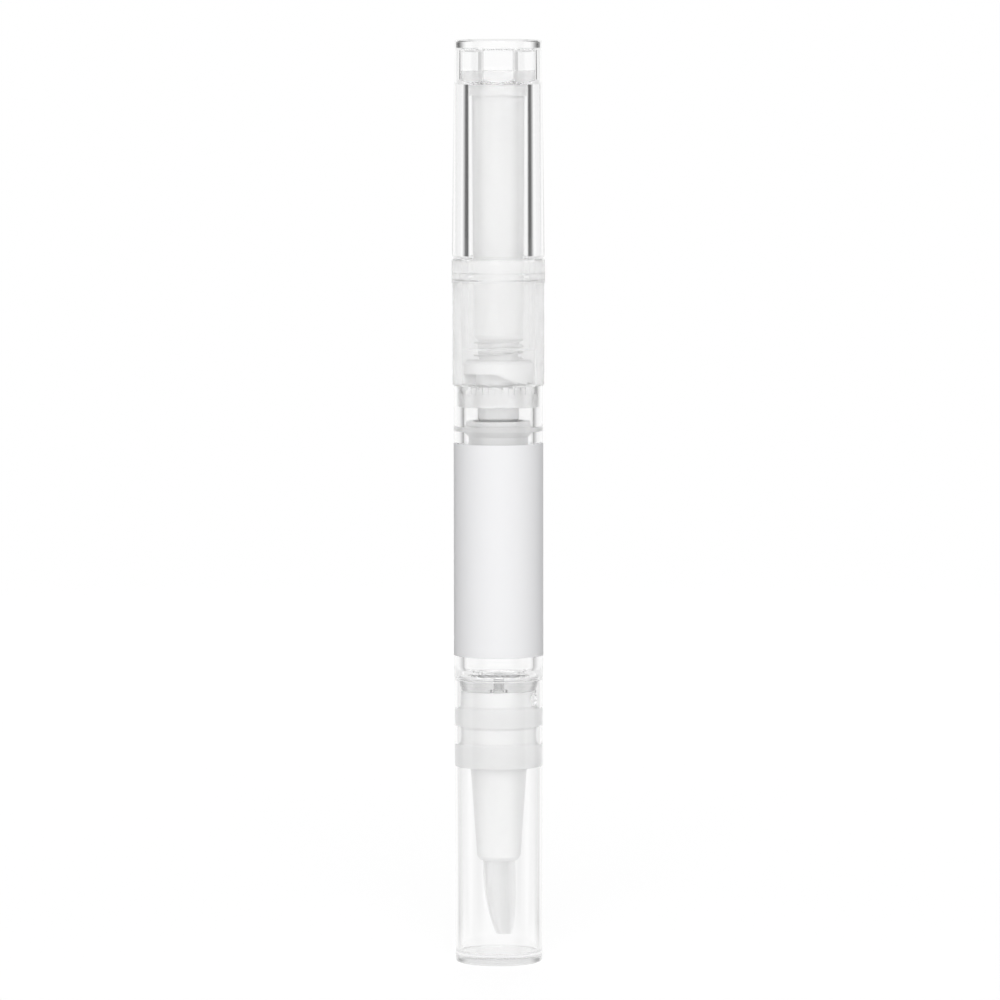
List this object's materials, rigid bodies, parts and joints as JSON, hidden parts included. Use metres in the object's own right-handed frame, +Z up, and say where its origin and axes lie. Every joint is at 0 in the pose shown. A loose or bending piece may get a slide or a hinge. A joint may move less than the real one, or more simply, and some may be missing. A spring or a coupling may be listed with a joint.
{
  "type": "nail oil pen",
  "caption": "Slim clear twist pen standing on its cap: knob, ratchet and screw rod drive a piston that feeds oil to a brush under the push-on cap.",
  "frame": {"origin": "centre of the cap's closed base, on which the pen stands", "axes": "+Z up along the pen from cap to knob, -Y towards the viewer of the picture, +X to that viewer's right"},
  "size_m": [0.0125, 0.0124, 0.124],
  "materials": {
    "clear_plastic": "clear polished styrene",
    "frosted_plastic": "natural translucent polypropylene",
    "milky_plastic": "milky soft polyethylene",
    "white_plastic": "white semi-gloss polypropylene",
    "satin_film": "satin white film",
    "bristle": "pale nylon fibre",
    "spring_steel": "drawn spring wire"
  },
  "bodies": {
    "pen": {"barrel": "clear_plastic", "label_sleeve": "satin_film", "nozzle": "white_plastic", "feed_tube": "white_plastic", "brush_ferrule": "white_plastic", "bristle_tuft": "bristle", "thread_nut": "white_plastic", "ratchet_ring": "white_plastic", "housing": "frosted_plastic"},
    "cap": {"cap": "clear_plastic"},
    "knob": {"knob": "clear_plastic", "end_plug": "clear_plastic", "drive_sleeve": "white_plastic", "ratchet_rotor": "white_plastic", "ratchet_spring": "spring_steel"},
    "rod": {"screw_rod": "white_plastic"},
    "piston": {"piston": "milky_plastic"}
  },
  "joints": [
    {"name": "cap_pull", "type": "slide", "parent": "pen", "child": "cap", "axis": [0, 0, -1], "range_m": [0, 0.045]},
    {"name": "knob_twist", "type": "hinge", "parent": "pen", "child": "knob", "pos_m": [0, 0, 0.1], "axis": [0, 0, -1], "range_deg": [0, 4680]},
    {"name": "rod_feed", "type": "slide", "parent": "knob", "child": "rod", "axis": [0, 0, -1], "range_m": [0, 0.0261]},
    {"name": "piston_feed", "type": "slide", "parent": "pen", "child": "piston", "axis": [0, 0, -1], "range_m": [0, 0.0261]}
  ],
  "couplings": [
    {"joint": "rod_feed", "follows": "knob_twist", "m_per_rad": 0.00031831},
    {"joint": "piston_feed", "follows": "knob_twist", "m_per_rad": 0.00031831}
  ]
}
